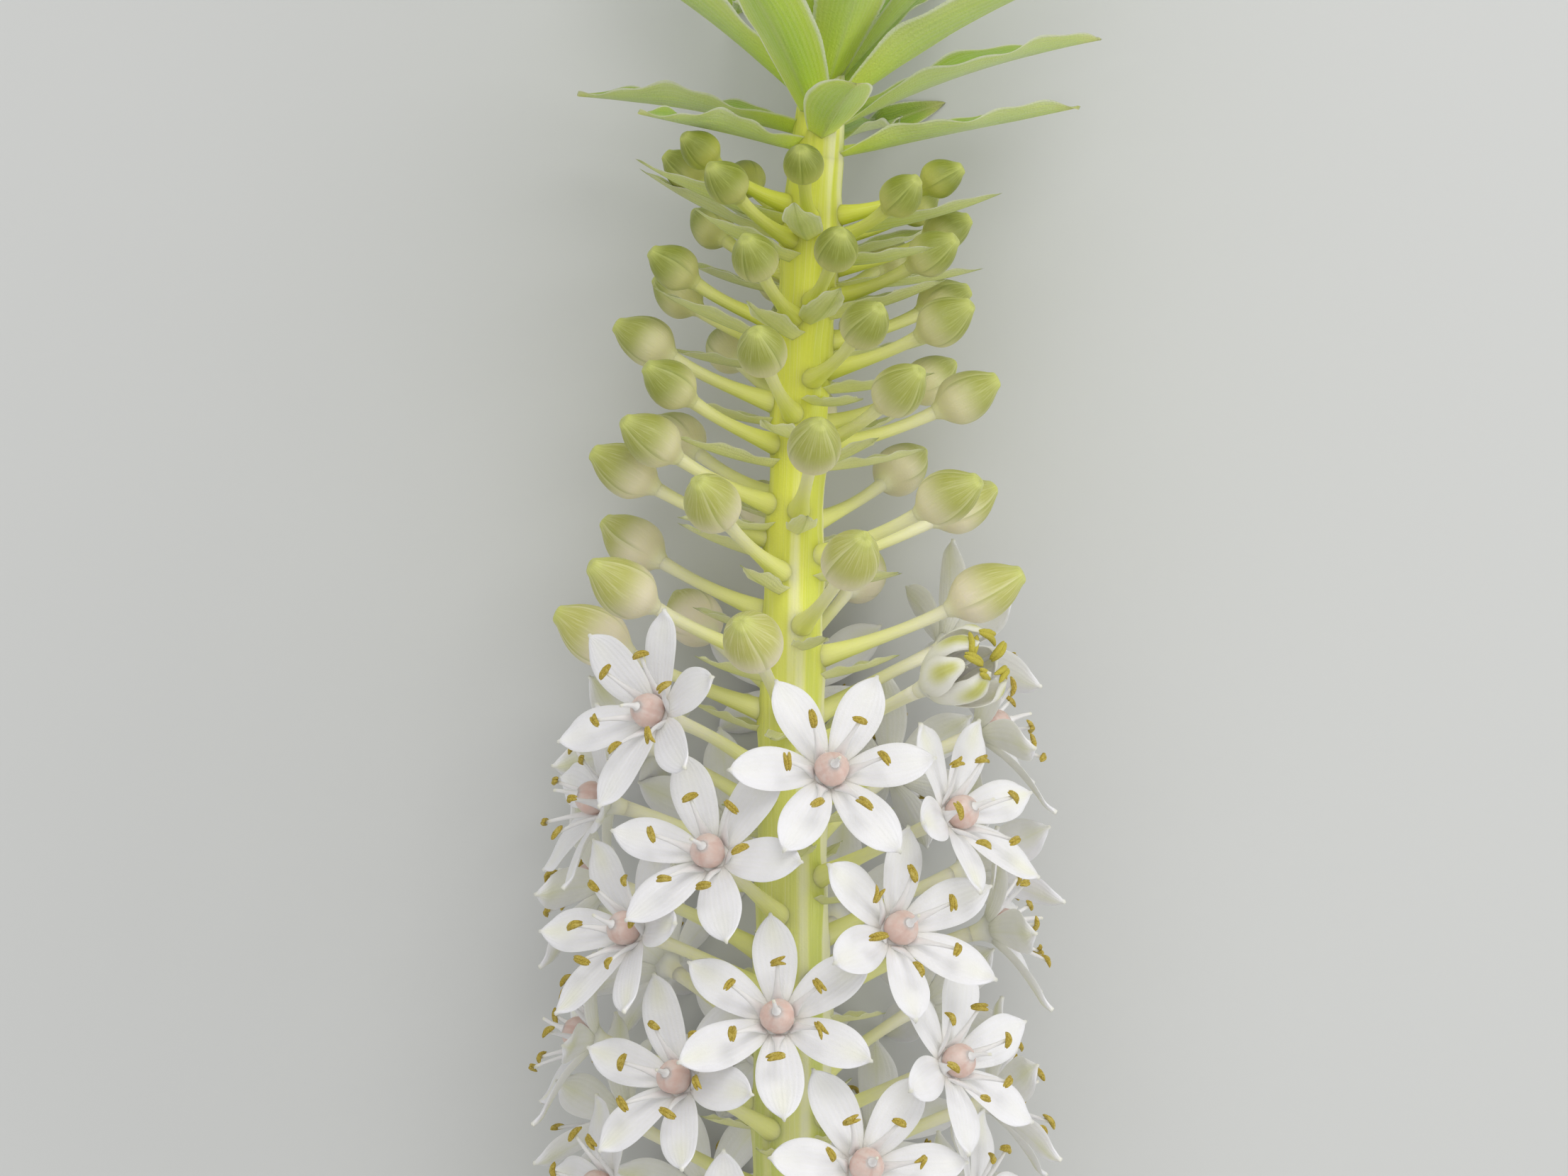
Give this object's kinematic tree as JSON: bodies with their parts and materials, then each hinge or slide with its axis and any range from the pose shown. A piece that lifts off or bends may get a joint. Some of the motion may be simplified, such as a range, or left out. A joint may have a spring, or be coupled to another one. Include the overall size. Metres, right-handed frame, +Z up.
{
  "type": "pineapple lily",
  "caption": "Cut flower spike of a pineapple lily lying on its side: a leafy crown, buds below it, then open six-petalled blooms round a bare stem.",
  "frame": {"origin": "on the surface that the spike lies on, under the middle of its whole extent", "axes": "+Y along the stem towards the leafy crown, +Z up from the surface, +X across"},
  "size_m": [0.0748, 0.3146, 0.0654],
  "materials": {
    "stem": "satin",
    "crown": "matte",
    "bloom": "matte"
  },
  "bodies": {
    "root": {"bloom_01": "bloom", "bloom_02": "bloom", "bloom_03": "bloom", "bloom_04": "bloom", "bloom_05": "bloom", "bloom_06": "bloom", "bloom_07": "bloom", "bloom_08": "bloom", "bloom_09": "bloom", "bloom_10": "bloom", "bloom_11": "bloom", "bloom_12": "bloom", "bloom_13": "bloom", "bloom_14": "bloom", "bloom_15": "bloom", "bloom_16": "bloom", "bloom_17": "bloom", "bloom_18": "bloom", "bloom_19": "bloom", "bloom_20": "bloom", "bloom_21": "bloom", "bloom_22": "bloom", "bloom_23": "bloom", "bloom_24": "bloom", "bloom_25": "bloom", "bloom_26": "bloom", "bloom_27": "bloom", "bloom_28": "bloom", "bloom_29": "bloom", "bloom_30": "bloom", "bloom_31": "bloom", "bloom_32": "bloom", "bloom_33": "bloom", "bloom_34": "bloom", "bloom_37": "bloom", "bloom_opening": "bloom", "crown": "crown", "stem": "stem"}
  },
  "joints": []
}
